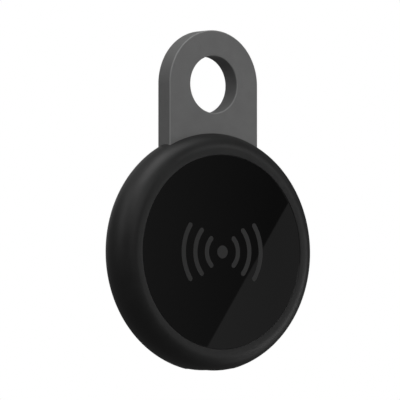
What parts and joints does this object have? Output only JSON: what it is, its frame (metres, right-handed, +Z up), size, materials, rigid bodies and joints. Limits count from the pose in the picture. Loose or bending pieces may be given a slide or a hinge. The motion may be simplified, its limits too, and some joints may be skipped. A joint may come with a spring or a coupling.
{
  "type": "bluetooth tracker tag",
  "caption": "Round flat bluetooth tracker tag with a matte rim, a glossy push-button front panel, a USB-C charging socket and a soft loop with a key-ring hole.",
  "frame": {"origin": "centre of the key-ring hole, in the middle of the loop's thickness", "axes": "+Z up from the round body to the loop's top, -Y out of the glossy front panel, +X to the right seen from the front"},
  "size_m": [0.0388, 0.0074, 0.0553],
  "materials": {
    "rim": "fine matte texture",
    "panel": "polished, glossy",
    "silicone_grey": "matte silicone",
    "seal_rubber": "matte",
    "stiff_insert": "moulded",
    "board": "solder mask",
    "chip_black": "moulded epoxy",
    "steel": "satin",
    "cell_steel": "satin nickel",
    "contact_gold": "gold plated",
    "sounder_brass": "rolled",
    "ceramic_white": "silvered ceramic",
    "mesh_black": "woven membrane",
    "foam_white": "adhesive foam"
  },
  "bodies": {
    "loop": {"loop": "silicone_grey"},
    "puck": {"housing": "rim", "rear_cover": "rim", "cover_seal": "seal_rubber", "sound_mesh": "mesh_black", "panel_seal": "seal_rubber", "switch_base": "chip_black", "switch_cover": "steel", "switch_dome": "steel", "main_pcb": "board", "ble_chip": "chip_black", "crystal": "steel", "shield_can": "steel", "antenna": "ceramic_white", "charger_ic": "chip_black", "power_inductor": "chip_black", "passives": "ceramic_white", "pcb_screws": "steel", "usb_shell": "steel", "usb_tongue": "chip_black", "usb_contacts": "contact_gold", "usb_gasket": "seal_rubber", "battery": "cell_steel", "battery_pad": "foam_white", "battery_tab_negative": "steel", "battery_tab_positive": "steel", "piezo_brass": "sounder_brass", "piezo_ceramic": "ceramic_white", "piezo_lead_ceramic": "contact_gold", "piezo_lead_brass": "contact_gold", "loop_root": "silicone_grey", "loop_anchor": "stiff_insert"},
    "button": {"front_panel": "panel", "button_nub": "seal_rubber"},
    "switch_plunger": {"switch_stem": "stiff_insert"}
  },
  "joints": [
    {"name": "loop_flex", "type": "hinge", "parent": "loop", "child": "puck", "pos_m": [0, 0, -0.006], "axis": [1, 0, 0], "range_deg": [-40, 40], "stiffness_Nm_per_rad": 0.035},
    {"name": "button_press", "type": "slide", "parent": "puck", "child": "button", "axis": [0, 1, 0], "range_m": [0, 0.00025], "stiffness_N_per_m": 8000, "deforming": ["panel_seal"]},
    {"name": "switch_travel", "type": "slide", "parent": "puck", "child": "switch_plunger", "axis": [0, 1, 0], "range_m": [0, 0.00025], "deforming": ["switch_dome"]}
  ],
  "couplings": [
    {"joint": "switch_travel", "follows": "button_press", "ratio": 1}
  ]
}
